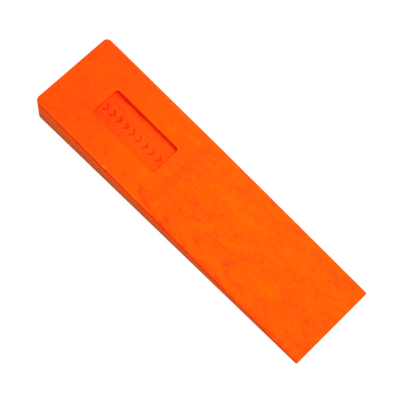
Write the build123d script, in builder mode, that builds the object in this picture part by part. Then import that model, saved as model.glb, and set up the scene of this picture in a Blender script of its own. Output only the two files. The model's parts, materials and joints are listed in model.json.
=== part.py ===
"""Felling wedge: one solid moulding in orange plastic, driven tip first into a saw cut.

Millimetres. X runs from the butt, which the axe or hammer strikes, to the thin tip.
Z is up, and the origin is at the middle of the flat underside.
"""

import os
from math import atan2, degrees

from build123d import *

# ---- Driving dimensions ----------------------------------------------------
length = 254.0  # 10 in, butt face to tip
width = 69.85  # 2 3/4 in
butt_height = 25.4  # 1 in
tip_thickness = 3.0

knee_from_butt = 106.0  # where the shallow rear taper meets the steeper front taper
knee_height = 17.4

butt_corner_radius = 4.2  # upright corners beside the struck face
tip_corner_radius = 0.8
edge_radius = 0.7  # every edge of the underside and of the upper faces

recess_from_butt = 63.5  # centre of the recessed panel
recess_length = 61.0  # along X, at the rim
recess_width = 25.5  # across Y, at the rim
recess_depth = 3.0
recess_corner_radius = 2.0
recess_draft = 12.0  # degrees, all four walls lean outwards
recess_rim_radius = 0.3
recess_foot_radius = 0.5

chevron_count = 9
chevron_pitch = 6.5
chevron_height = 5.4  # across Y
chevron_stroke = 1.3  # along X
chevron_rake = 2.5  # how far the point leads the two arms' ends
chevron_rise = 0.8  # above the recess floor
chevron_offset = -1.3  # the row lies a little to the -Y side of the panel

band_from_butt = 106.6  # centre of the shallow cross groove at the knee
band_length = 4.8  # along X, at its floor
band_width = 56.0  # across Y, at its floor
band_depth = 0.3
band_corner_radius = 1.2
band_draft = 40.0  # degrees, so that its sides blend into the upper faces
band_clearance = 1.0  # how far the groove's cut carries on above the knee

# ---- Derived places and planes ---------------------------------------------
butt_x = -length / 2
tip_x = length / 2
knee_x = butt_x + knee_from_butt
rear_drop = butt_height - knee_height
front_drop = knee_height - tip_thickness
front_run = length - knee_from_butt
rear_slope = degrees(atan2(rear_drop, knee_from_butt))
front_slope = degrees(atan2(front_drop, front_run))


def upper_height(from_butt):
    """Height of the upper faces above the underside, at a distance from the butt face."""
    if from_butt < knee_from_butt:
        return butt_height - rear_drop * from_butt / knee_from_butt
    return knee_height - front_drop * (from_butt - knee_from_butt) / front_run


def upper_plane(from_butt, slope):
    """A plane on the upper faces, with its own X running down the slope to the tip."""
    level = Plane((butt_x + from_butt, 0, upper_height(from_butt)))
    return level.rotated((0, slope, 0))


def faces_up(face):
    """True for a face that looks upwards: the upper faces and the panel's floor."""
    return face.normal_at().Z > 0.9


recess_plane = upper_plane(recess_from_butt, rear_slope)
floor_plane = recess_plane.offset(-recess_depth)
band_plane = upper_plane(band_from_butt, (rear_slope + front_slope) / 2)

# One chevron about its own centre, its point towards the tip
arm_x = -chevron_rake / 2
point_x = chevron_rake / 2
half_stroke = chevron_stroke / 2
half_height = chevron_height / 2
chevron_outline = [
    (arm_x - half_stroke, -half_height),
    (arm_x + half_stroke, -half_height),
    (point_x + half_stroke, 0),
    (arm_x + half_stroke, half_height),
    (arm_x - half_stroke, half_height),
    (point_x - half_stroke, 0),
]

os.makedirs("parts", exist_ok=True)

with BuildPart() as wedge_body:
    # Plan outline: round corners at the butt, nearly sharp ones at the tip
    with BuildSketch():
        Rectangle(length, width)
        corners = vertices().group_by(Axis.X)
        fillet(corners[0], butt_corner_radius)
        fillet(corners[-1], tip_corner_radius)
    extrude(amount=butt_height)

    # Side profile: flat underside, and a two-stage taper that meets at the knee
    with BuildSketch(Plane.XZ):
        Polygon(
            (butt_x, 0),
            (tip_x, 0),
            (tip_x, tip_thickness),
            (knee_x, knee_height),
            (butt_x, butt_height),
            align=None,
        )
    extrude(amount=width, both=True, mode=Mode.INTERSECT)

    # Round the edges of the underside and of the upper faces, but not the knee itself
    underside = faces().sort_by(Axis.Z)[0]
    upper_faces = faces().filter_by(faces_up)
    knee_edges = edges().filter_by(Axis.Y).filter_by_position(Axis.X, knee_x, knee_x)
    fillet(underside.edges() + upper_faces.edges() - knee_edges, edge_radius)

    # Recessed panel with leaning walls, round corners, a soft foot and an eased rim
    with BuildSketch(recess_plane):
        RectangleRounded(recess_length, recess_width, recess_corner_radius)
    extrude(amount=-recess_depth, taper=recess_draft, mode=Mode.SUBTRACT)
    panel_floor, rear_face = faces().filter_by(faces_up).sort_by(Axis.Z)[1:]
    fillet(rear_face.inner_wires()[0].edges(), recess_rim_radius)
    fillet(panel_floor.edges(), recess_foot_radius)

    # Shallow cross groove over the knee, its sides blended into the upper faces
    with BuildSketch(band_plane.offset(-band_depth)):
        RectangleRounded(band_length, band_width, band_corner_radius)
    extrude(amount=band_depth + band_clearance, taper=-band_draft, mode=Mode.SUBTRACT)

    # Raised row of plain chevrons on the panel's floor
    with BuildSketch(floor_plane):
        with Locations((0, chevron_offset)):
            with GridLocations(chevron_pitch, 0, chevron_count, 1):
                Polygon(*chevron_outline, align=None)
    extrude(amount=chevron_rise)

wedge_body.part.label = "wedge_body"
export_step(wedge_body.part, "parts/wedge_body.step")
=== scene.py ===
import json
import math

import bpy
import numpy as np
from mathutils import Matrix, Vector

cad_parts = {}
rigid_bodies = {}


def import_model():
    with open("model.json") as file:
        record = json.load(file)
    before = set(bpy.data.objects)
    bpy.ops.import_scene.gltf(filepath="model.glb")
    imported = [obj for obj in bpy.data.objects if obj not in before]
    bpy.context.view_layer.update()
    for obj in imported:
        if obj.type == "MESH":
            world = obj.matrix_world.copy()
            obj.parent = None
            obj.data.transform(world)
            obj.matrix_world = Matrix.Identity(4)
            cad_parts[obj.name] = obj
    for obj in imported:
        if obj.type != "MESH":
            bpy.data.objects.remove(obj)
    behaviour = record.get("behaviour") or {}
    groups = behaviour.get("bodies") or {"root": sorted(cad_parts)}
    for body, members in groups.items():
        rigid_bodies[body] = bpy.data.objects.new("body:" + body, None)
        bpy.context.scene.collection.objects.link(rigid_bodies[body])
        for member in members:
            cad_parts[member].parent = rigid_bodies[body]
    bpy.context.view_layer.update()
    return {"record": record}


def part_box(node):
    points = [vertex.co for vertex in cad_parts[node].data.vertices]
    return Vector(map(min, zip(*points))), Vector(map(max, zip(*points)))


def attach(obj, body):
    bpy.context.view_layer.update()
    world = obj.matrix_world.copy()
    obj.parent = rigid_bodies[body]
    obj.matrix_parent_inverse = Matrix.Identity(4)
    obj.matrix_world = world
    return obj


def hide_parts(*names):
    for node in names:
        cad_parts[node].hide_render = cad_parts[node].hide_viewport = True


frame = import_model()

MM = 0.001  # the script works in metres

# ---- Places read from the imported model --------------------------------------
low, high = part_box("wedge_body")
mounts = {mount["name"]: mount for mount in frame["record"]["mounts"]}
width = high.y - low.y

# ---- Sizes of the moulding's features, as in the CAD part -------------------
BUTT_CORNER_RADIUS = 4.2 * MM
TIP_CORNER_RADIUS = 0.8 * MM
EDGE_RADIUS = 0.7 * MM

PANEL_CENTRE = low.x + 63.5 * MM
PANEL_HALF_LENGTH = 30.5 * MM
PANEL_HALF_WIDTH = 12.75 * MM
PANEL_CORNER_RADIUS = 2.0 * MM
PANEL_DEPTH = 3.0 * MM
PANEL_WALL_RUN = 0.64 * MM  # how far a leaning wall comes in from rim to foot
PANEL_RIM_EASE = 0.15 * MM
PANEL_FOOT_EASE = 0.30 * MM

CHEVRON_COUNT = 9
CHEVRON_PITCH = 6.5 * MM
CHEVRON_HALF_HEIGHT = 2.7 * MM
CHEVRON_STROKE = 1.3 * MM
CHEVRON_RAKE = 2.5 * MM
CHEVRON_RISE = 0.8 * MM
CHEVRON_OFFSET = -1.3 * MM
CHEVRON_EASE = 0.22 * MM

BAND_CENTRE = low.x + 106.6 * MM
BAND_HALF_LENGTH = 2.75 * MM
BAND_HALF_WIDTH = 28.3 * MM
BAND_CORNER_RADIUS = 1.2 * MM
BAND_DEPTH = 0.3 * MM
BAND_EASE = 0.7 * MM

# ---- Traces of moulding and use, which the CAD part leaves out --------------
BAND_RAGGEDNESS = 0.12 * MM  # of the groove's outline

PARTING_RIDGE = 0.10 * MM  # how far the mould's joint line stands proud of the side walls
RIDGE_HALF_WIDTH = 0.35 * MM
GATE_HALF_LENGTH = 4.5 * MM  # the scar on the butt, where the plastic came in
GATE_HALF_HEIGHT = 1.3 * MM
GATE_RISE = 0.25 * MM
GATE_EASE = 0.5 * MM

PIN_RADIUS = 4.0 * MM  # ejector pin marks in the underside
PIN_DEPTH = 0.2 * MM
PIN_EASE = 0.25 * MM
PIN_X = 0.62 * high.x
PIN_Y = 0.60 * high.y

NICK_X = low.x + 68 * MM  # a knock in the upper edge on the -Y side
NICK_HALF_LENGTH = 2.8 * MM
NICK_HALF_WIDTH = 1.7 * MM
NICK_DEPTH = 0.35 * MM

# Unevenness of the upper faces
SINK_DEPTH = 0.10 * MM  # along their middle
REAR_FLOW_DEPTH = 0.015 * MM
FRONT_FLOW_DEPTH = 0.045 * MM
FLOW_CHANGE = 30 * MM  # over which the one turns into the other, from the groove on
RIPPLE_DEPTH = 0.006 * MM

# ---- Finish of the surface, with painted shade and light --------------------
# Shifts along the plastic's range, from -1 for the deepest red to 1 for the palest: some are the
# plastic's own tone, and some are painted shade, as said at each
# Painted shade in the recessed panel: its floor is painted darker and redder as the recess's
# shade, and its walls darker still, most of all the +Y wall, which is turned from the lamp. A
# painted shadow lies on its floor beside that wall.
PANEL_PAINTED_SHADE = -0.30
PANEL_WALL_PAINTED_SHADE = -0.60  # on the panel's +Y wall
OTHER_WALLS_SHARE = 0.45  # of that tone, on its other walls
FAR_WALL_REACH = 2.5 * MM  # how far in from the +Y rim that wall's tone is told apart
PANEL_SHADE_TONE = -0.33  # on its floor beside the +Y wall
PANEL_SHADE_REACH = 4.0 * MM
# Painted shade: the raised chevrons are painted darker, standing in for the shade along their
# sides
CHEVRON_PAINTED_SHADE = -0.55
BAND_TONE = -0.25
# Painted shade in the sunk flow marks and painted light on the raised ones, standing in for the
# shading of their shallow relief
MARK_PAINTED_SHADE = -8.5  # for each millimetre of a flow mark's depth
PIN_TONE = -0.30
# Painted shade towards the butt, the end furthest from the lamp
BUTT_PAINTED_SHADE = -0.28
BUTT_SHADE_WHOLE, BUTT_SHADE_GONE = low.x + 30 * MM, low.x + 78 * MM
FRONT_EDGE_TONE = -0.45  # along the front face's -Y edge
FRONT_EDGE_REACH = 2.4 * MM
# Painted shade on the side walls right under the upper edges, lighter on the +Y side, which faces
# the lamp
UNDER_EDGE_PAINTED_SHADE = -1.0  # right under the upper edges
FAR_EDGE_SHARE = 0.4  # of that tone, on the +Y side
# Depths below the upper edge where that painted shade is whole and where it is gone: first for the
# dark line beside the edge, then for the fainter shade that reaches further down
UNDER_EDGE_LINE = (0.72 * MM, 1.92 * MM)
UNDER_EDGE_SHADE = (1.35 * MM, 5.85 * MM)
UNDER_EDGE_LINE_SHARE = 0.6

# How much of the mottling is missing
REAR_CALM = 0.35
REAR_CALM_WHOLE, REAR_CALM_GONE = BAND_CENTRE - 50 * MM, BAND_CENTRE + 30 * MM
PANEL_CALM = 0.5
BAND_CALM = 0.6

# Rubbed places, dusty ones, and the painted shade and painted floor reflection on the walls, from
# 0 to 1
EDGE_RUB = 0.09  # along the rear face's edges
EDGE_RUB_REACH = 1.2 * MM
SCAR_RUB = 0.6
RIDGE_RUB = 0.5
# Painted shade and painted reflection of the floor on the side walls: browner and duller, more
# below the joint line, and more at the foot as a painted contact shadow
WALL_SHADE_ABOVE = 0.45  # above the mould's joint line
WALL_SHADE_BELOW = 0.72
FOOT_SHADOW = 0.30  # more than that, at the foot of the walls
WALL_SHADE_REACH = 7.0 * MM  # below the upper edge, where the painted shade reaches its full strength
WALL_SHADE_CHANGE = 1.2 * MM  # over which it changes at the joint line
UNDERSIDE_DUST = 0.6

# How far the front and rear faces, and the two sides, take to change over
FRONT_CHANGE = 8 * MM
SIDE_CHANGE = 60 * MM

# ---- Flow marks on the upper faces ------------------------------------------
# Each is (start x, start y, end x, end y, bend, half width, depth), in millimetres:
# x from the butt, bend sideways at the middle, depth negative where the surface is raised.
FLOW_MARKS = [
    (149, -15.5, 186, -9.0, -1.0, 0.7, 0.045),
    (124, -17.0, 140, -12.5, -0.3, 0.8, 0.045),
    (140, -12.8, 158, -10.0, -0.5, 0.5, 0.030),
    (162, -11.5, 182, 2.0, -1.0, 1.9, -0.035),
    (158, -8.0, 166, -1.0, -0.4, 1.5, 0.030),
    (163, -3.0, 168, 1.5, 0.2, 1.1, 0.032),
    (154, 2.0, 158, 0.0, 0.2, 0.8, 0.035),
    (128, -7.0, 132, -5.5, 0.0, 1.7, 0.030),
    (136, -13.5, 139, -12.5, 0.0, 1.3, 0.020),
    (145, -24.5, 150, -25.5, 0.8, 2.4, 0.058),
    (172, -22.0, 176, -17.5, 0.8, 2.5, 0.056),
    (173, -22.0, 181, -26.0, -0.8, 1.2, 0.040),
    (176, -9.5, 184, -7.5, 0.5, 1.6, 0.034),
    (193, 0.5, 196, 0.5, 0.3, 1.0, 0.030),
    (217, 1.5, 219, -2.5, 0.6, 1.2, 0.025),
    (196, 2.0, 216, 2.5, 1.4, 0.45, 0.035),
    (198, -0.5, 214, 0.5, 1.2, 0.40, 0.030),
    (199, 4.0, 213, 4.5, 1.2, 0.40, 0.025),
    (234, 24.5, 245, 27.0, 0.3, 0.7, 0.040),
    (94, -25.0, 110, -32.0, -0.6, 1.6, 0.075),
    (122, -28.5, 126, -31.0, 0.2, 1.4, 0.065),
    (112, -21.0, 130, -17.5, 0.5, 0.8, 0.030),
    (136, 22.0, 156, 28.0, 0.5, 3.2, 0.020),
    (218, -11.0, 224, -14.0, 0.3, 1.2, 0.030),
    (246, -19.0, 252, -29.0, 0.5, 2.2, 0.040),
    (186, -15.5, 214, -14.0, 1.5, 2.6, -0.025),
    (130, 9.0, 178, 14.0, 2.0, 4.0, -0.030),
    (106, -28.0, 119, -29.0, 0.0, 2.4, -0.030),
    (228, -29.0, 241, -16.0, 0.4, 0.6, -0.030),
    (231, -30.0, 244, -18.0, 0.3, 0.5, -0.025),
    (64, -15.2, 90, -15.5, 0.0, 1.0, -0.045),
    (80, -20.0, 96, -19.0, 0.8, 2.6, -0.030),
]
MARK_STEPS = 14  # points along each mark
MARK_TIP_SHARE = 0.55  # of its half width, at both ends
MARK_UNEVENNESS = 0.25
FLOW_ANGLE = math.radians(26)  # the way the plastic ran into the mould, from +X towards +Y


# ---- Shapes as functions of place -------------------------------------------
def smoothstep(value):
    value = np.clip(value, 0, 1)
    return value * value * (3 - 2 * value)


def fade(value, whole, gone):
    """1 from whole on and 0 from gone on, changing over softly between the two."""
    return smoothstep((gone - value) / (gone - whole))


def waves(x, y, seed, wavelength, angle=0.0, stretch=1.0, count=28):
    """Soft random relief of unit size: a sum of cosines, longer by stretch along angle."""
    random = np.random.default_rng(seed)
    along = (x * math.cos(angle) + y * math.sin(angle)) / stretch
    across = y * math.cos(angle) - x * math.sin(angle)
    total = np.zeros_like(x)
    for _ in range(count):
        heading, phase = random.uniform(0, math.tau, 2)
        number = math.tau / (wavelength * random.uniform(0.6, 1.8))
        travel = along * math.cos(heading) + across * math.sin(heading)
        total += np.cos(number * travel + phase)
    return total / math.sqrt(count / 2)


def rounded_box_distance(x, y, half_x, half_y, radius):
    """Distance outside a rounded rectangle about the origin; negative inside it."""
    over_x = np.abs(x) - half_x + radius
    over_y = np.abs(y) - half_y + radius
    outside = np.hypot(np.maximum(over_x, 0), np.maximum(over_y, 0))
    return outside + np.minimum(np.maximum(over_x, over_y), 0) - radius


class UpperFace:
    """One plane of the upper surface, from its mount in the record."""

    def __init__(self, mount):
        self.point = Vector(mount["pos_m"])
        self.normal = Vector(mount["axis"]).normalized()

    def height(self, x):
        return self.point.z - (x - self.point.x) * self.normal.x / self.normal.z


rear_face = UpperFace(mounts["upper_rear_face"])
front_face = UpperFace(mounts["upper_front_face"])


def upper_height(x):
    return np.minimum(rear_face.height(x), front_face.height(x))


def panel_depth(x, y):
    """Depth of the recessed panel below the rear face."""
    along = (x - PANEL_CENTRE) / rear_face.normal.z
    distance = rounded_box_distance(
        along, y, PANEL_HALF_LENGTH, PANEL_HALF_WIDTH, PANEL_CORNER_RADIUS
    )
    return PANEL_DEPTH * fade(distance, -PANEL_WALL_RUN - PANEL_FOOT_EASE, PANEL_RIM_EASE)


def chevron_height(x, y):
    """Height of the raised chevrons above the panel's floor."""
    along = (x - PANEL_CENTRE) / rear_face.normal.z
    across = np.abs(y - CHEVRON_OFFSET)
    row = CHEVRON_COUNT * CHEVRON_PITCH / 2
    local = np.mod(along + row, CHEVRON_PITCH) - CHEVRON_PITCH / 2
    lean = CHEVRON_RAKE / CHEVRON_HALF_HEIGHT
    middle = CHEVRON_RAKE / 2 - lean * across
    from_stroke = (np.abs(local - middle) - CHEVRON_STROKE / 2) / math.hypot(1, lean)
    distance = np.maximum(from_stroke, across - CHEVRON_HALF_HEIGHT)
    height = CHEVRON_RISE * fade(distance, -CHEVRON_EASE, CHEVRON_EASE)
    return np.where(np.abs(along) < row, height, 0)


def band_depth(x, y):
    """Depth of the shallow cross groove over the knee."""
    distance = rounded_box_distance(
        x - BAND_CENTRE, y, BAND_HALF_LENGTH, BAND_HALF_WIDTH, BAND_CORNER_RADIUS
    )
    distance += BAND_RAGGEDNESS * waves(x, y, seed=11, wavelength=5 * MM)
    return BAND_DEPTH * fade(distance, -BAND_EASE / 2, BAND_EASE / 2)


def flow_mark_depth(x, y):
    """Depth of the flow marks: soft strokes that taper at both ends."""
    total = np.zeros_like(x)
    for start_x, start_y, end_x, end_y, bend, half_width, depth in FLOW_MARKS:
        start = np.array([start_x, start_y])
        chord = np.array([end_x, end_y]) - start
        side = np.array([-chord[1], chord[0]]) / np.hypot(*chord)
        strength = np.zeros_like(x)
        for step in np.linspace(0, 1, MARK_STEPS):
            arch = 4 * step * (1 - step)  # 0 at both ends and 1 at the middle
            point = start + chord * step + side * bend * arch
            distance = np.hypot(x - low.x - point[0] * MM, y - point[1] * MM)
            reach = half_width * MM * (MARK_TIP_SHARE + (1 - MARK_TIP_SHARE) * arch)
            strength = np.maximum(strength, np.exp(-0.5 * (distance / reach) ** 2))
        total += depth * MM * strength
    unevenness = waves(x, y, seed=17, wavelength=2.2 * MM, angle=FLOW_ANGLE, stretch=2)
    return total * (1 + MARK_UNEVENNESS * unevenness)


def nick_depth(x, y):
    """Depth of the small nick in the upper edge on the -Y side."""
    reach = np.hypot((x - NICK_X) / NICK_HALF_LENGTH, (y - low.y) / NICK_HALF_WIDTH)
    return NICK_DEPTH * fade(reach, 0, 1)


def upper_relief(x, y):
    """Unevenness of the moulded upper faces: sink, flow lines and small ripples."""
    front = fade(x, BAND_CENTRE + FLOW_CHANGE, BAND_CENTRE)
    flow_depth = REAR_FLOW_DEPTH + (FRONT_FLOW_DEPTH - REAR_FLOW_DEPTH) * front
    sink = 1 - (2 * y / width) ** 2
    flow = waves(x, y, seed=3, wavelength=9 * MM, angle=FLOW_ANGLE, stretch=3.5)
    ripple = waves(x, y, seed=5, wavelength=4.5 * MM, angle=FLOW_ANGLE, stretch=1.8)
    return SINK_DEPTH * sink + flow_depth * flow + RIPPLE_DEPTH * ripple


# ---- Finish, with painted shade and light, as a function of place -----------
def near_side(y):
    """1 on the -Y side of the wedge and 0 on the other."""
    return fade(y, -SIDE_CHANGE / 2, SIDE_CHANGE / 2)


def front_share(x):
    """0 on the rear face and 1 on the front face, beyond the middle of the groove."""
    return fade(x, BAND_CENTRE + FRONT_CHANGE, BAND_CENTRE)


def side_distance(y):
    """How far a point of the upper faces lies from where the side edges start to roll over."""
    return high.y - EDGE_RADIUS - np.abs(y)


def upper_tone_and_shade(x, y, panel_share, chevron_share, band_share, marks):
    """Tone of the upper faces, with painted shade and light; a share is a feature's depth or
    height over its greatest.
    """
    # Painted shade of the panel's floor and walls, and the painted shadow beside its +Y wall
    wall_share = 27 / 4 * panel_share**2 * (1 - panel_share)  # 1 at two thirds of the depth
    far_wall = fade(PANEL_HALF_WIDTH - y, 0, FAR_WALL_REACH)
    wall_share *= OTHER_WALLS_SHARE + (1 - OTHER_WALLS_SHARE) * far_wall
    to_wall = PANEL_HALF_WIDTH - PANEL_WALL_RUN - y
    shaded = panel_share * fade(to_wall, 0, PANEL_SHADE_REACH)
    tone = PANEL_PAINTED_SHADE * panel_share + PANEL_WALL_PAINTED_SHADE * wall_share + PANEL_SHADE_TONE * shaded
    # The chevrons' share is painted shade, and the flow marks' share is painted shade where sunk
    # and painted light where raised
    tone += BAND_TONE * band_share + CHEVRON_PAINTED_SHADE * chevron_share + MARK_PAINTED_SHADE * marks / MM
    # Painted shade towards the butt
    tone += BUTT_PAINTED_SHADE * fade(x, BUTT_SHADE_WHOLE, BUTT_SHADE_GONE)
    at_edge = fade(side_distance(y), 0, FRONT_EDGE_REACH)
    return tone + FRONT_EDGE_TONE * at_edge * front_share(x) * near_side(y)


def upper_calm(x, panel_share, band_share):
    """How much of the mottling is missing on the upper faces."""
    calm = REAR_CALM * fade(x, REAR_CALM_WHOLE, REAR_CALM_GONE)
    calm = np.maximum(calm, PANEL_CALM * panel_share)
    return np.maximum(calm, BAND_CALM * band_share)


def upper_wear_and_highlight(x, y):
    """How rubbed the upper faces are, faintly along the rear edges, with a painted highlight
    wholly in the nick.
    """
    rubbed = EDGE_RUB * fade(side_distance(y), 0, EDGE_RUB_REACH) * (1 - front_share(x))
    # Painted highlight in the nick
    return np.maximum(rubbed, fade(nick_depth(x, y), NICK_DEPTH / 2, 0))


def under_edge_painted_shade(y):
    """Painted shade right under the upper edges."""
    return UNDER_EDGE_PAINTED_SHADE * (FAR_EDGE_SHARE + (1 - FAR_EDGE_SHARE) * near_side(y))


def under_edge_share(depth):
    """How much of that painted shade is left at a depth below the upper edge."""
    line, shade = fade(depth, *UNDER_EDGE_LINE), fade(depth, *UNDER_EDGE_SHADE)
    return UNDER_EDGE_LINE_SHARE * line + (1 - UNDER_EDGE_LINE_SHARE) * shade


# ---- Ruling of the mesh -----------------------------------------------------
def spaced(start, *spans):
    """Grid lines from start, over spans of (end, spacing)."""
    lines = [start]
    for end, spacing in spans:
        count = max(1, round((end - lines[-1]) / spacing))
        lines.extend(np.linspace(lines[-1], end, count + 1)[1:])
    return np.array(lines)


def mirrored(lines):
    """Grid lines on the negative side of zero, and their mirror images."""
    return np.concatenate([lines, -lines[::-1][1:]])


edge_x, edge_y = low.x + EDGE_RADIUS, low.y + EDGE_RADIUS
tip_end = high.x - EDGE_RADIUS
butt_arc = low.x + BUTT_CORNER_RADIUS
tip_arc = high.x - TIP_CORNER_RADIUS
chevron_pitch_x = CHEVRON_PITCH * rear_face.normal.z
chevron_row_x = chevron_pitch_x * CHEVRON_COUNT / 2
LINES_PER_CHEVRON = 22
RIM_ZONE = 0.5 * MM  # the fine ruling starts this far outside the panel's rim
WALL_ZONE = 2.6 * MM  # and goes on this far inside it, over its walls and corners
FINE = 0.17 * MM
CORNER_SPACING = 0.5 * MM  # over the butt's corners
ARC_SPACING = 0.05 * MM  # over the tip's
PIN_ZONE = PIN_RADIUS + 1 * MM

top_x = spaced(
    edge_x,
    (butt_arc, CORNER_SPACING),
    (PANEL_CENTRE - PANEL_HALF_LENGTH - RIM_ZONE, 1.3 * MM),
    (PANEL_CENTRE - chevron_row_x, FINE),
    (PANEL_CENTRE + chevron_row_x, chevron_pitch_x / LINES_PER_CHEVRON),
    (PANEL_CENTRE + PANEL_HALF_LENGTH + RIM_ZONE, FINE),
    (BAND_CENTRE - BAND_HALF_LENGTH - BAND_EASE, 1.0 * MM),
    (BAND_CENTRE - BAND_HALF_LENGTH + BAND_EASE, 0.25 * MM),
    (BAND_CENTRE + BAND_HALF_LENGTH - BAND_EASE, 0.6 * MM),
    (BAND_CENTRE + BAND_HALF_LENGTH + BAND_EASE, 0.25 * MM),
    (tip_arc, 1.15 * MM),
    (tip_end, ARC_SPACING),
)
top_y = mirrored(
    spaced(
        edge_y,
        (low.y + BUTT_CORNER_RADIUS, CORNER_SPACING),
        (-BAND_HALF_WIDTH - BAND_EASE, 1.0 * MM),
        (-BAND_HALF_WIDTH + BAND_EASE, 0.35 * MM),
        (-PANEL_HALF_WIDTH - RIM_ZONE, 1.1 * MM),
        (-PANEL_HALF_WIDTH + WALL_ZONE, FINE),
        (CHEVRON_OFFSET - CHEVRON_HALF_HEIGHT - CHEVRON_EASE, 1.0 * MM),
        (0, 0.29 * MM),
    )
)
base_x = spaced(
    edge_x,
    (butt_arc, CORNER_SPACING),
    (-PIN_X - PIN_ZONE, 3 * MM),
    (-PIN_X + PIN_ZONE, 0.6 * MM),
    (PIN_X - PIN_ZONE, 4 * MM),
    (PIN_X + PIN_ZONE, 0.6 * MM),
    (tip_arc, 3 * MM),
    (tip_end, ARC_SPACING),
)
base_y = mirrored(
    spaced(
        edge_y,
        (low.y + BUTT_CORNER_RADIUS, CORNER_SPACING),
        (-PIN_Y - PIN_ZONE, 2 * MM),
        (-PIN_Y + PIN_ZONE, 0.6 * MM),
        (0, 3 * MM),
    )
)

# Heights of the side walls' rows of points above the mould's joint line: shares of the
# wall's half height, then the ridge's own rows
WALL_SHARES = (0.95, 0.88, 0.78, 0.62, 0.42, 0.2, 0.15, 0.1, 0.06)
RIDGE_LEVELS = (0.35 * MM, 0.18 * MM)
# Where half the wall is lower than this, the ridge and the bands of painted shade shrink
FULL_HALF_HEIGHT = 7 * MM
FOOT_ROW_SHARE = 0.985  # of the way down, where the underside's ruling takes over
EDGE_STEPS = 6  # rows over a rolled edge
BUTT_NORMAL_X = -0.99  # or less, on the butt's flat face


# ---- Mesh of the moulding ---------------------------------------------------
def ring_indices(columns, rows):
    """Indices round a columns by rows grid, from its low corner, along X first."""
    near = [i * rows for i in range(columns)]
    tip = [(columns - 1) * rows + j for j in range(1, rows)]
    far = [i * rows + rows - 1 for i in range(columns - 2, -1, -1)]
    butt = [j for j in range(rows - 2, 0, -1)]
    return np.array(near + tip + far + butt)


def round_corners(x, y):
    """Bends a rectangular grid, inset by the edge radius, onto the rounded plan outline."""
    x, y = x.copy(), y.copy()
    half_y = high.y - EDGE_RADIUS
    for end, inwards, corner_radius in (
        (low.x, 1, BUTT_CORNER_RADIUS),
        (high.x, -1, TIP_CORNER_RADIUS),
    ):
        radius = corner_radius - EDGE_RADIUS
        centre_x = end + inwards * (EDGE_RADIUS + radius)
        out_x = (centre_x - x) * inwards / radius
        out_y = (np.abs(y) - half_y + radius) / radius
        corner = (out_x > 0) & (out_y > 0)
        round_x = out_x * np.sqrt(np.maximum(1 - out_y**2 / 2, 0))
        round_y = out_y * np.sqrt(np.maximum(1 - out_x**2 / 2, 0))
        x = np.where(corner, centre_x - inwards * radius * round_x, x)
        y = np.where(corner, np.sign(y) * (half_y - radius + radius * round_y), y)
    return x, y


def outward(x, y):
    """Horizontal unit normals of the plan outline at points on it."""
    radius = np.where(x < 0, BUTT_CORNER_RADIUS, TIP_CORNER_RADIUS)
    straight_x = np.clip(x, low.x + BUTT_CORNER_RADIUS, high.x - TIP_CORNER_RADIUS)
    straight_y = np.clip(y, low.y + radius, high.y - radius)
    off_x, off_y = x - straight_x, y - straight_y
    size = np.hypot(off_x, off_y)
    return off_x / size, off_y / size


class Shell:
    """Vertices and faces gathered from grids and rings, with each vertex's finish."""

    def __init__(self):
        self.points = []
        self.faces = []
        self.finish = {"tone": [], "calm": [], "dust": [], "wear": []}
        self.total = 0

    def add(self, x, y, z, **finish):
        """Adds points, with any finish other than nought; gives their indices."""
        first = self.total
        self.points.append(np.stack([np.ravel(x), np.ravel(y), np.ravel(z)], axis=1))
        self.total += self.points[-1].shape[0]
        for name, values in self.finish.items():
            values.append(np.broadcast_to(finish.get(name, 0.0), np.shape(x)).ravel())
        return np.arange(first, self.total)

    def grid(self, ids, columns, rows, up):
        for i in range(columns - 1):
            for j in range(rows - 1):
                a, b = ids[i * rows + j], ids[(i + 1) * rows + j]
                c, d = ids[(i + 1) * rows + j + 1], ids[i * rows + j + 1]
                self.faces.append((a, b, c, d) if up else (d, c, b, a))

    def bridge(self, upper, lower):
        """Quads between two rings of the same count, the upper one first."""
        for k in range(len(upper)):
            after = (k + 1) % len(upper)
            self.faces.append((upper[k], lower[k], lower[after], upper[after]))

    def stitch(self, upper, lower, upper_place, lower_place):
        """Triangles between two rings of different counts, by their places round the outline."""
        i = j = 0
        while i < len(upper) or j < len(lower):
            next_upper = upper_place[i + 1] if i < len(upper) else math.inf
            next_lower = lower_place[j + 1] if j < len(lower) else math.inf
            a, b = upper[i % len(upper)], lower[j % len(lower)]
            if next_upper < next_lower:
                i += 1
                self.faces.append((a, b, upper[i % len(upper)]))
            else:
                j += 1
                self.faces.append((a, b, lower[j % len(lower)]))


class Rim:
    """The ring of points round a grid, where its edge starts to roll over."""

    def __init__(self, ids, x, y, z):
        ring = ring_indices(*x.shape)
        self.ids = ids[ring]
        self.x, self.y, self.z = x.ravel()[ring], y.ravel()[ring], z.ravel()[ring]
        self.out_x, self.out_y = outward(self.x, self.y)

    def moved_out(self, distance):
        return self.x + self.out_x * distance, self.y + self.out_y * distance

    def places(self):
        """Place of each point as a share of the way round, and 1 for the return."""
        steps = np.hypot(np.roll(self.x, -1) - self.x, np.roll(self.y, -1) - self.y)
        return np.concatenate([[0], np.cumsum(steps)]) / steps.sum()


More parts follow.
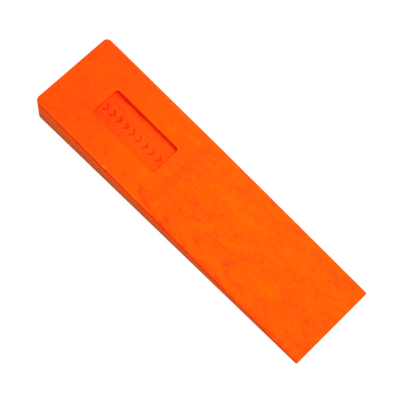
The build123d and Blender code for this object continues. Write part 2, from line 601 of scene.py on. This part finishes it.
def add_upper_faces(shell):
    """Adds the upper faces, with all that is sunk into them or raised; gives their rim."""
    x, y = round_corners(*np.meshgrid(top_x, top_y, indexing="ij"))
    panel, chevrons, band = panel_depth(x, y), chevron_height(x, y), band_depth(x, y)
    marks = flow_mark_depth(x, y)

    # Depth is measured square to each face, so that the panel's walls stay straight
    depth = panel - chevrons + band + marks + nick_depth(x, y) + upper_relief(x, y)
    rear = rear_face.height(x) < front_face.height(x)
    lean_x = np.where(rear, rear_face.normal.x, front_face.normal.x)
    lean_z = np.where(rear, rear_face.normal.z, front_face.normal.z)
    z = upper_height(x) - depth * lean_z

    panel_share, band_share = panel / PANEL_DEPTH, band / BAND_DEPTH
    tone = upper_tone_and_shade(x, y, panel_share, chevrons / CHEVRON_RISE, band_share, marks)
    calm = upper_calm(x, panel_share, band_share)
    ids = shell.add(x - depth * lean_x, y, z, tone=tone, calm=calm, wear=upper_wear_and_highlight(x, y))
    shell.grid(ids, *x.shape, up=True)
    return Rim(ids, x, y, z)


def add_underside(shell):
    """Adds the underside, with its ejector pin marks; gives its rim."""
    x, y = round_corners(*np.meshgrid(base_x, base_y, indexing="ij"))
    from_pin = np.hypot(np.abs(x) - PIN_X, np.abs(y) - PIN_Y) - PIN_RADIUS
    pin_share = fade(from_pin, -PIN_EASE, PIN_EASE)
    z = low.z + PIN_DEPTH * pin_share
    ids = shell.add(x, y, z, tone=PIN_TONE * pin_share, dust=UNDERSIDE_DUST)
    shell.grid(ids, *x.shape, up=False)
    return Rim(ids, x, y, z)


def add_upper_edge(shell, rim):
    """Adds the rolled edge below the upper faces; gives its lowest row."""
    # The rolled edge takes on the painted shade under the edges as it turns down, and loses the
    # rub and the nick's painted highlight
    edge_shade, edge_wear_and_highlight = under_edge_painted_shade(rim.y), upper_wear_and_highlight(rim.x, rim.y)
    upper = rim.ids
    for step in range(1, EDGE_STEPS + 1):
        turn = math.pi / 2 * step / EDGE_STEPS
        drop, out = EDGE_RADIUS * (1 - math.cos(turn)), EDGE_RADIUS * math.sin(turn)
        out = out - nick_depth(rim.x, rim.y + rim.out_y * out) * math.sin(2 * turn)
        over = smoothstep(step / EDGE_STEPS)
        finish = {"tone": edge_shade * over, "wear": edge_wear_and_highlight * (1 - over)}
        lower = shell.add(*rim.moved_out(out), rim.z - drop, **finish)
        shell.bridge(upper, lower)
        upper = lower
    return upper


def add_side_walls(shell, rim, upper):
    """Adds the walls below upper, with the mould's joint line half-way down and the gate scar
    on the butt; gives their lowest row."""
    wall_top, wall_foot = rim.z - EDGE_RADIUS, low.z + EDGE_RADIUS
    half, joint = (wall_top - wall_foot) / 2, (wall_top + wall_foot) / 2
    room = np.minimum(1, half / FULL_HALF_HEIGHT)
    on_butt = rim.out_x < BUTT_NORMAL_X
    levels = [share * half for share in WALL_SHARES] + [rise * room for rise in RIDGE_LEVELS]
    levels += [0 * half] + [-level for level in reversed(levels)]
    for level in levels:
        ridge_share = room * fade(np.abs(level), 0, RIDGE_HALF_WIDTH * room)
        from_scar = rounded_box_distance(
            rim.y, level, GATE_HALF_LENGTH, GATE_HALF_HEIGHT, GATE_HALF_HEIGHT
        )
        scar_share = fade(from_scar, -GATE_EASE, GATE_EASE)
        bulge = np.where(on_butt, GATE_RISE * scar_share, PARTING_RIDGE * ridge_share)

        depth = (half - level) / room
        below_joint = fade(level / room, -WALL_SHADE_CHANGE / 2, WALL_SHADE_CHANGE / 2)
        shade_below = WALL_SHADE_BELOW - FOOT_SHADOW * level / half
        dust = WALL_SHADE_ABOVE + (shade_below - WALL_SHADE_ABOVE) * below_joint
        # Painted shade under the upper edge; lower down, painted shade and painted reflection of
        # the floor
        finish = {
            "tone": under_edge_painted_shade(rim.y) * under_edge_share(depth),
            "dust": dust * (1 - fade(depth, 0, WALL_SHADE_REACH)),
            "wear": np.where(on_butt, SCAR_RUB * scar_share, RIDGE_RUB * ridge_share),
        }
        lower = shell.add(*rim.moved_out(EDGE_RADIUS + bulge), joint + level, **finish)
        shell.bridge(upper, lower)
        upper = lower
    return upper


def add_foot(shell, rim, upper, upper_places):
    """Adds the foot of the walls and the rolled lower edge, down to the underside's rim."""
    # Painted contact shadow at the foot of the walls and on the rolled lower edge
    dust = WALL_SHADE_BELOW + FOOT_SHADOW
    wall_top, wall_foot = upper_height(rim.x) - EDGE_RADIUS, low.z + EDGE_RADIUS
    foot = wall_top + (wall_foot - wall_top) * FOOT_ROW_SHARE
    lower = shell.add(*rim.moved_out(EDGE_RADIUS), foot, dust=dust)
    shell.stitch(upper, lower, upper_places, rim.places())
    upper = lower
    for step in range(EDGE_STEPS):
        turn = math.pi / 2 * step / EDGE_STEPS
        out, lift = EDGE_RADIUS * math.cos(turn), EDGE_RADIUS * (1 - math.sin(turn))
        lower = shell.add(*rim.moved_out(out), rim.z + lift, dust=dust)
        shell.bridge(upper, lower)
        upper = lower
    shell.bridge(upper, rim.ids)


def mesh_from(shell, name):
    mesh = bpy.data.meshes.new(name)
    mesh.from_pydata(np.concatenate(shell.points), [], shell.faces)
    for attribute_name, parts in shell.finish.items():
        attribute = mesh.attributes.new(attribute_name, "FLOAT", "POINT")
        attribute.data.foreach_set("value", np.concatenate(parts).astype(np.float32))
    mesh.update()
    mesh.shade_smooth()
    return mesh


shell = Shell()
upper_rim = add_upper_faces(shell)
lower_rim = add_underside(shell)
edge_row = add_upper_edge(shell, upper_rim)
wall_row = add_side_walls(shell, upper_rim, edge_row)
add_foot(shell, lower_rim, wall_row, upper_rim.places())

wedge = bpy.data.objects.new("moulded_wedge", mesh_from(shell, "moulded_wedge"))
bpy.context.scene.collection.objects.link(wedge)

# ---- Materials --------------------------------------------------------------
# The pigment's colours by tone and painted shade and light, and those of the dust on the underside
# and of the painted shade and painted reflection on the walls, by their thickness and strength
PIGMENT = (
    (0.0, (0.96, 0.022, 0.0030)),
    (0.25, (0.95, 0.065, 0.0038)),
    (0.5, (0.98, 0.088, 0.0020)),
    (0.75, (1.00, 0.108, 0.0012)),
    (1.0, (1.00, 0.135, 0.0012)),
)
DUST_AND_SHADE = (
    (0.4, (0.80, 0.118, 0.020)),
    (0.8, (0.62, 0.116, 0.024)),
    (1.0, (0.50, 0.120, 0.034)),
)
# Paler colour of rubbed places, also painted into the nick as a highlight
RUBBED_AND_HIGHLIGHT_COLOUR = (1.00, 0.30, 0.07)

# Noises, with scale in features to the metre
STREAKS = {"scale": 220.0, "detail": 5.0, "roughness": 0.6, "distortion": 1.0}
PATCHES = {"scale": 42.0, "detail": 2.0}
MOTTLE = {"scale": 700.0, "detail": 3.0, "roughness": 0.6}
SMEARS = {"scale": 90.0, "detail": 4.0, "roughness": 0.6, "distortion": 0.5}
GRAIN = {"scale": 2600.0, "detail": 2.0}
FLOW_STRETCH = 2.0  # of the streaks, along the plastic's flow

STREAK_SWING = 1.1  # of the tone
PATCH_SWING = 0.35
MOTTLE_SWING = 0.85
SMEAR_SWING = 0.75  # of the dust and the painted shade

ROUGHNESS = 0.62
STREAK_ROUGHNESS = 0.3
MOTTLE_ROUGHNESS = 0.16
DUST_AND_SHADE_ROUGHNESS = 0.22
GLOSS = 0.004

BUMP_DEPTH = 0.05 * MM
MOTTLE_RELIEF = 0.8  # against 1 for the streaks
GRAIN_RELIEF = 0.25


class Graph:
    """Adds nodes to a material and links them."""

    def __init__(self, material):
        material.use_nodes = True
        self.nodes, self.links = material.node_tree.nodes, material.node_tree.links
        self.shader = self.nodes["Principled BSDF"]

    def add(self, kind, inputs=(), **settings):
        node = self.nodes.new(kind)
        for name, value in settings.items():
            setattr(node, name, value)
        for key, value in dict(inputs).items():
            self.put(node.inputs[key], value)
        return node

    def put(self, socket, value):
        """Links value to socket if it is a node's output, and otherwise sets it."""
        if isinstance(value, bpy.types.NodeSocket):
            self.links.new(value, socket)
        else:
            socket.default_value = value

    def noise(self, place, scale, detail, roughness=0.5, distortion=0.0):
        inputs = {
            "Vector": place,
            "Scale": scale,
            "Detail": detail,
            "Roughness": roughness,
            "Distortion": distortion,
        }
        return self.add("ShaderNodeTexNoise", inputs).outputs["Fac"]

    def math(self, operation, first, second=0.0, third=0.0, clamp=False):
        inputs = {0: first, 1: second, 2: third}
        node = self.add("ShaderNodeMath", inputs, operation=operation, use_clamp=clamp)
        return node.outputs["Value"]

    def swing(self, value, amount, onto):
        """onto, plus amount times value's swing about a half."""
        return self.math("ADD", self.math("MULTIPLY_ADD", value, amount, -amount / 2), onto)

    def attribute(self, name):
        return self.add("ShaderNodeAttribute", attribute_name=name).outputs["Fac"]

    def ramp(self, value, stops):
        node = self.add("ShaderNodeValToRGB", {"Fac": value})
        elements = node.color_ramp.elements
        elements[0].position, elements[1].position = stops[0][0], stops[-1][0]
        elements[0].color, elements[1].color = (*stops[0][1], 1), (*stops[-1][1], 1)
        for position, colour in stops[1:-1]:
            elements.new(position).color = (*colour, 1)
        return node.outputs["Color"]

    def mix(self, factor, first, second):
        inputs = {"Factor": factor, 6: first, 7: second}  # 6 and 7 are the two colours
        node = self.add("ShaderNodeMix", inputs, data_type="RGBA")
        return node.outputs[2]


def plastic_material():
    """Pigmented moulded plastic: flow streaks, mottling, rubbed edges and a dusty underside, with
    painted shade and light: a painted highlight in the nick, painted shade in the recess and under
    the edges, and painted shade and floor reflection on the sides.
    """
    material = bpy.data.materials.new("wedge_plastic")
    graph = Graph(material)
    place = graph.add("ShaderNodeTexCoord").outputs["Object"]
    inputs = {
        "Vector": place,
        "Rotation": (0, 0, -FLOW_ANGLE),
        "Scale": (1 / FLOW_STRETCH, 1, 1),
    }
    flow_place = graph.add("ShaderNodeMapping", inputs).outputs["Vector"]

    # Tone of the pigment, with the painted shade and light, from 0 for the deepest to 1 for the
    # palest
    tone = graph.math("MULTIPLY_ADD", graph.attribute("tone"), 0.5, 0.5)
    streaks = graph.noise(flow_place, **STREAKS)
    mottle = graph.noise(place, **MOTTLE)
    uneven = graph.swing(streaks, STREAK_SWING, 0.0)
    uneven = graph.swing(graph.noise(place, **PATCHES), PATCH_SWING, uneven)
    uneven = graph.swing(mottle, MOTTLE_SWING, uneven)
    mottled_share = graph.math("SUBTRACT", 1.0, graph.attribute("calm"))
    tone = graph.math("MULTIPLY_ADD", uneven, mottled_share, tone)
    colour = graph.ramp(tone, PIGMENT)

    # Rubbed edges are paler, and so is the nick, as a painted highlight; the sides are painted
    # browner as painted shade and painted reflection of the floor, and the underside holds some
    # dust
    colour = graph.mix(graph.attribute("wear"), colour, (*RUBBED_AND_HIGHLIGHT_COLOUR, 1))
    smears = graph.swing(graph.noise(place, **SMEARS), SMEAR_SWING, 1.0)
    dust_and_shade_share = graph.math("MULTIPLY", graph.attribute("dust"), smears, clamp=True)
    colour = graph.mix(dust_and_shade_share, colour, graph.ramp(dust_and_shade_share, DUST_AND_SHADE))
    graph.put(graph.shader.inputs["Base Color"], colour)

    roughness = graph.swing(streaks, STREAK_ROUGHNESS, ROUGHNESS)
    roughness = graph.swing(mottle, MOTTLE_ROUGHNESS, roughness)
    roughness = graph.math("MULTIPLY_ADD", dust_and_shade_share, DUST_AND_SHADE_ROUGHNESS, roughness, clamp=True)
    graph.put(graph.shader.inputs["Roughness"], roughness)

    relief = graph.math("MULTIPLY", mottle, MOTTLE_RELIEF)
    relief = graph.math("MULTIPLY_ADD", graph.noise(place, **GRAIN), GRAIN_RELIEF, relief)
    relief = graph.math("ADD", relief, streaks)
    bump = graph.add("ShaderNodeBump", {"Strength": 1.0, "Distance": BUMP_DEPTH, "Height": relief})
    graph.put(graph.shader.inputs["Normal"], bump.outputs["Normal"])
    graph.shader.inputs["Specular IOR Level"].default_value = GLOSS
    return material


wedge.data.materials.append(plastic_material())

# ---- Studio floor -----------------------------------------------------------
FLOOR_HALF = 3.0
FLOOR_GAP = 0.02 * MM  # below the wedge
OPENING_INSET = 2.5 * MM
FLOOR_COLOUR = (0.25, 0.25, 0.25, 1)
FLOOR_ROUGHNESS = 0.9
FLOOR_GLOW = 0.9


def floor_material():
    material = bpy.data.materials.new("studio_floor")
    material.use_nodes = True
    shader = material.node_tree.nodes["Principled BSDF"]
    shader.inputs["Base Color"].default_value = FLOOR_COLOUR
    shader.inputs["Roughness"].default_value = FLOOR_ROUGHNESS
    shader.inputs["Specular IOR Level"].default_value = 0.0
    shader.inputs["Emission Color"].default_value = (1, 1, 1, 1)
    shader.inputs["Emission Strength"].default_value = FLOOR_GLOW
    return material


# The floor is open under the wedge, a little inside its outline, so that its underside can
# be seen from below
quarters = ((-1, -1), (1, -1), (1, 1), (-1, 1))
opening_x, opening_y = high.x - OPENING_INSET, high.y - OPENING_INSET
floor_level = low.z - FLOOR_GAP
floor_mesh = bpy.data.meshes.new("studio_floor")
floor_mesh.from_pydata(
    [(sx * FLOOR_HALF, sy * FLOOR_HALF, floor_level) for sx, sy in quarters]
    + [(sx * opening_x, sy * opening_y, floor_level) for sx, sy in quarters],
    [],
    [(k, (k + 1) % 4, (k + 1) % 4 + 4, k + 4) for k in range(4)],
)
floor = bpy.data.objects.new("studio_floor", floor_mesh)
floor.data.materials.append(floor_material())
bpy.context.scene.collection.objects.link(floor)

# ---- Light ------------------------------------------------------------------
LAMP_PLACE = Vector((0.10, 0.22, 0.38))
LAMP_TARGET = Vector((0.05, 0.0, 0.0))
LAMP_SIZE = 0.40
LAMP_POWER = 2.35
SKY_STRENGTH = 0.50

light = bpy.data.lights.new("soft_box", "AREA")
light.shape = "SQUARE"
light.size = LAMP_SIZE
light.energy = LAMP_POWER
lamp = bpy.data.objects.new("soft_box", light)
lamp_turn = (LAMP_PLACE - LAMP_TARGET).to_track_quat("Z", "Y").to_matrix().to_4x4()
lamp.matrix_world = Matrix.Translation(LAMP_PLACE) @ lamp_turn
bpy.context.scene.collection.objects.link(lamp)

world = bpy.data.worlds.new("studio")
world.use_nodes = True
sky = world.node_tree.nodes["Background"]
sky.inputs["Color"].default_value = (1, 1, 1, 1)
sky.inputs["Strength"].default_value = SKY_STRENGTH
bpy.context.scene.world = world
bpy.context.scene.view_settings.view_transform = "Standard"

# ---- Camera -----------------------------------------------------------------
CAMERA_AZIMUTH = math.radians(37.54)  # from -Y towards +X
CAMERA_ELEVATION = math.radians(69.53)
CAMERA_ROLL = math.radians(7.72)
CAMERA_DISTANCE = 0.978
CAMERA_LENS = 127.8  # in millimetres, as is the sensor's width
SENSOR_WIDTH = 36
AIM_HEIGHT = 10 * MM
AIM_RIGHT = 0.5 * MM
AIM_UP = -1.6 * MM

back = Vector(
    (
        math.sin(CAMERA_AZIMUTH) * math.cos(CAMERA_ELEVATION),
        -math.cos(CAMERA_AZIMUTH) * math.cos(CAMERA_ELEVATION),
        math.sin(CAMERA_ELEVATION),
    )
)
level_right = Vector((math.cos(CAMERA_AZIMUTH), math.sin(CAMERA_AZIMUTH), 0))
level_up = back.cross(level_right)
right = level_right * math.cos(CAMERA_ROLL) + level_up * math.sin(CAMERA_ROLL)
up = back.cross(right)
aim = Vector((0, 0, AIM_HEIGHT)) + right * AIM_RIGHT + up * AIM_UP
position = aim + back * CAMERA_DISTANCE
camera_data = bpy.data.cameras.new("camera")
camera_data.lens = CAMERA_LENS
camera_data.sensor_width = SENSOR_WIDTH
camera = bpy.data.objects.new("camera", camera_data)
turn = Matrix((right, up, back)).transposed().to_4x4()
camera.matrix_world = Matrix.Translation(position) @ turn
bpy.context.scene.collection.objects.link(camera)
bpy.context.scene.camera = camera

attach(wedge, "root")
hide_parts("wedge_body")
